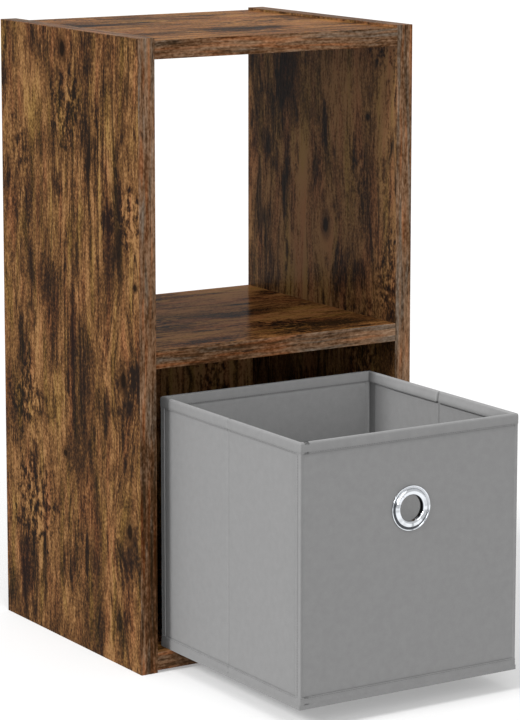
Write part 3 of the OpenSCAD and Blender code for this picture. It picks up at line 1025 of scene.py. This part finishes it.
def tray_wall(shape, points, low, high, thick=0.9):
    """A thin upright strip between plan points, with its thickness to the left of the way it goes."""
    rings = []
    for x, y, nx, ny in points:
        inner_x, inner_y = x + nx * thick, y + ny * thick
        rings.append([(x, y, low), (x, y, high), (inner_x, inner_y, high), (inner_x, inner_y, low)])
    shape.loft(rings)


def make_tray(box, materials):
    """The cloth bottom: a sheet, low sides and its front edge."""
    inset = 0.05
    low, high = box.base + 0.08, box.base + TRAY_TOP
    left, right = box.x0 + inset, box.x1 - inset
    front, back = box.y0 + 1.0, box.y1 - inset
    sides = Shape()
    tray_wall(sides, [(left, y, 1, 0) for y in steps(front, back, 12)], low, high)
    tray_wall(sides, [(right, y, -1, 0) for y in steps(front, back, 12)], low, high)
    tray_wall(sides, [(x, back, 0, -1) for x in steps(left, right, 12)], low, high)
    edge = sides.object("tray_sides", materials)

    rings = []
    for y in steps(front, back - 1.0, 6):
        top = [(x, y, low + 0.62 + 0.12 * ripple(x / 30, y / 30, 2)) for x in steps(left + 1, right - 1, 6)]
        under = [(x, y, low) for x, _, _ in top[::-1]]
        rings.append(top + under)
    floor = skinned("tray_floor", rings, materials[:1])

    strip = Shape()
    tray_wall(strip, [(x, box.y0 + inset, 0, 1) for x in steps(left, right, 12)], low, high)
    lip = strip.object("tray_front", materials)
    return edge, floor, lip


def make_insert(cloth):
    """The loose stiff base: a covered board with soft edges."""
    low, high = (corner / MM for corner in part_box("base_insert_cover"))
    middle_z, half_z = (low.z + high.z) / 2, (high.z - low.z) / 2
    centre_y, half_y = (low.y + high.y) / 2, (high.y - low.y) / 2
    length = high.x - low.x
    rings = []
    for s in steps_with(0, length, 6.0, [0, length], 3.0, 0.6):
        side = min(s, length - s)
        shrink = max(0.0, 1 - side / 1.6) ** 2 * 1.5
        ring = []
        for y in steps(-1, 1, 0.05):
            fall = max(0.0, 1 - (1 - abs(y)) * half_y / 1.6) ** 2 * 1.4
            swell = 0.12 * ripple(s / 50, y * 3, 7)
            rise = max(half_z - 0.15 - shrink - fall + swell, 0.15)
            ring.append((low.x + s, centre_y + y * half_y, middle_z + rise))
        ring += [(x, y, 2 * middle_z - z) for x, y, z in ring[::-1]]
        rings.append(ring)
    return skinned("base_insert_skin", rings, [cloth])


def make_eyelet(box, chrome):
    """The chrome eyelet's front half, turned on its axis: lip, sunken band, raised bead and barrel."""
    section = arc(24.3, -0.35, 0.72, -40, 170, 12)
    section += [(23.1, -0.42), (22.2, -0.36), (21.4, -0.35)]
    section += arc(17.85, -0.15, 3.25, 8, 172, 30)
    section += [(14.6, -0.4), (14.6, -2.0), (14.6, -4.5)]
    section += [(15.3, -5.2), (15.5, -4.8), (15.4, -1.6), (20, -1.0)]
    flatter = 0.52  # the part in front of the cloth is lower than its round sections
    flat = [(r, h * (flatter if h > -0.1 else 1)) for r, h in section]
    rings = []
    for k in range(ROUND_SIDES):
        a = math.radians(k * 360 / ROUND_SIDES)
        ring = []
        for r, h in flat:
            ring.append((box.eye.x + r * math.cos(a), box.y0 - h, box.eye.z + r * math.sin(a)))
        rings.append(ring)
    return skinned("eyelet_ring", rings, [chrome], 60, closed=True)


def make_fabric_box(cloth, tape, thread, lining, tape_lining, shaded):
    box = Box()
    # The side walls' inner cloth: a lighter copy of the cloth as painted light, with painted shade near the
    # front and rear corners.
    side_lining = fabric("grey_side_lining", (0.19, 0.19, 0.19), False, (box.y0, box.y1))
    covers = {
        "front": ["front_wall_cover"],
        "back": ["back_wall_cover"],
        "left": ["left_rear_cover", "left_front_cover"],
        "right": ["right_rear_cover", "right_front_cover"],
    }
    for seed, wall in enumerate(covers):
        skin = make_skin(box, wall, seed * 7.3, [cloth, side_lining if box.is_side(wall) else lining])
        if wall == "front":
            cut_round_hole(skin, box.eye, FINGER_HOLE)
        box.body_wall(skin, wall)
        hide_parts(*covers[wall])
        for kind in ("rim", "base"):
            band = make_band(box, kind, wall, seed * 5.1, [tape, thread, tape_lining])
            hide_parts(*(name.replace("cover", f"{kind}_tape") for name in covers[wall]))
    for seed, corner in enumerate(box.corners):
        pieces = [
            make_corner_band(box, "rim", corner, seed * 3.7, [tape, thread, tape_lining]),
            make_corner_band(box, "base", corner, seed * 3.7, [tape, thread]),
            *make_corner_seams(box, corner, seed * 2.9, [cloth, thread]),
            *make_inner_seams(box, corner, lining, shaded),
        ]

    edge, floor, lip = make_tray(box, [tape, thread])
    for piece in (edge, floor):
        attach(piece, "box")
        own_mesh(piece)
    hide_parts("bottom_fabric")
    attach(lip, "front_wall")
    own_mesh(lip)

    insert = make_insert(cloth)
    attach(insert, "base_insert")
    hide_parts("base_insert_cover")
    eyelet = make_eyelet(box, chromed("chrome_ring_painted_reflections", box.eye))
    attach(eyelet, "front_wall")
    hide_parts("eyelet_rim")


# ---------- carcass ----------


def soften(obj, width):
    """Rounds a board's edges a little without changing its own mesh."""
    weld = obj.modifiers.new("weld", "WELD")
    weld.merge_threshold = 1e-6
    bevel = obj.modifiers.new("bevel", "BEVEL")
    bevel.width = width
    bevel.segments = 2
    bevel.limit_method = "ANGLE"
    bevel.angle_limit = math.radians(50)
    bevel.use_clamp_overlap = True
    normals = obj.modifiers.new("normals", "WEIGHTED_NORMAL")
    normals.keep_sharp = False


def dress(obj, *materials):
    obj.data.materials.clear()
    for material in materials:
        obj.data.materials.append(material)


# The boards' larger marks: how many to a square metre, then the least and greatest half width and half
# length in millimetres
MARKS = {
    "charred": (52, (8, 28), (16, 56)),
    "brown": (20, (16, 34), (30, 90)),
    "golden": (18, (20, 36), (50, 100)),
    "grooved": (8, (26, 46), (100, 140)),
    "crumbled": (18, (26, 50), (26, 60)),
    "knots": (8, (5, 6), (5, 6)),
}
DARKER_EDGING_PART = [(0, 120, 400, 250)]  # the darker lower part of the left side's front edging, as one mark


def spread_marks(name, axes, seed):
    """A board's marks of every kind: evenly spread along the grain and at random across it."""
    low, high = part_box(name)
    across, along = axes[0], axes[2]
    width, length = high[across] - low[across], high[along] - low[along]
    draw = random.Random(seed)
    marks = {}
    for kind, (per_area, half_widths, half_lengths) in MARKS.items():
        count = max(1, round(per_area * width * length))
        marks[kind] = []
        for k in range(count):
            place_across = (low[across] + width * draw.random()) / MM
            place_along = (low[along] + length * (k + draw.random()) / count) / MM
            half_sizes = draw.uniform(*half_widths), draw.uniform(*half_lengths)
            marks[kind].append((place_across, place_along, *half_sizes))
    return marks


def dress_carcass(nodes):
    # The third number shifts a board's tone: the lifts on the right side, top, shelf, bottom and back boards
    # are painted light, brightening boards the lamps leave darker.
    boards = {
        "left_side": (ALONG_Z, 1, -0.01, 1.04, 0.24, True),
        "right_side": (ALONG_Z, 2, 0.15, 1.1, 0.24, True),
        "top_panel": (ALONG_X, 3, 0.14, 1.025, 0.24, True),
        "middle_shelf": (ALONG_X, 4, 0.22, 1.026, 0.13, True),
        "bottom_panel": (ALONG_X, 5, 0.1, 1.025, 0.24, False),
        "back_panel": (ALONG_Z, 6, 0.14, 1.04, 0.24, False),
    }
    for name, (axes, seed, tone_and_painted_light, gloss, rough, marked) in boards.items():
        marks = spread_marks(name, axes, seed) if marked else None
        dress(nodes[name], wood(f"oak_{name}", axes, seed, tone_and_painted_light, gloss, rough, marks))
        soften(nodes[name], 0.0004)
    for seed, name in enumerate(("top_panel", "middle_shelf", "bottom_panel")):
        dress(nodes[f"{name}_edging"], edging(f"edging_{name}", STRIP_X, 11 + seed, (), 0.08))
    for seed, name in enumerate(("left_side", "right_side")):
        strip = nodes[f"{name}_edging"]
        upright = edging(f"edging_{name}", STRIP_Z, 21 + seed, DARKER_EDGING_PART if name == "left_side" else ())
        lying = edging(f"edging_{name}_top", STRIP_Y, 31 + seed)
        dress(strip, upright, lying)
        for face in strip.data.polygons:
            face.material_index = 1 if abs(face.normal.z) > 0.5 else 0
    for name in ("left_side", "right_side", "top_panel", "middle_shelf", "bottom_panel"):
        soften(nodes[f"{name}_edging"], 0.0003)


def dress_hidden(nodes):
    dress(nodes["cam_locks"], metal("zinc", (0.55, 0.55, 0.53), 0.4, 0.2))
    dress(nodes["cam_bolts"], metal("steel", (0.56, 0.57, 0.58), 0.3, 0.15))
    dress(nodes["wood_dowels"], fibreboard("beech", (0.62, 0.42, 0.24)))
    greyboard = fibreboard("greyboard", (0.27, 0.23, 0.18))
    for name, node in nodes.items():
        if name.endswith("_board"):
            dress(node, greyboard)


# ---------- scene ----------


def main():
    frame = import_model()
    nodes = frame["nodes"]
    add_camera()
    add_studio()

    dress_carcass(nodes)
    dress_hidden(nodes)
    dress(nodes["eyelet_washer"], metal("chrome", (0.86, 0.87, 0.89), 0.06, 0.05))
    cloth = fabric("grey_cloth", (0.157, 0.157, 0.157))
    tape = fabric("grey_tape", (0.157, 0.157, 0.157), True)
    # Thread darker than the cloth: real stitches, whose darkness also paints the shade lines along the
    # bindings' edges.
    thread = fabric("grey_thread_and_painted_shade", (0.09, 0.09, 0.09))
    # Lighter copies of the cloth and the tape for the faces inside the box: painted light.
    lining = fabric("grey_lining", (0.195, 0.195, 0.195))
    tape_lining = fabric("grey_tape_lining", (0.2, 0.2, 0.2), True)
    # Painted shade for the strips in the inner corners.
    shaded = fabric("grey_painted_corner_shade", (0.075, 0.075, 0.075))
    make_fabric_box(cloth, tape, thread, lining, tape_lining, shaded)


main()
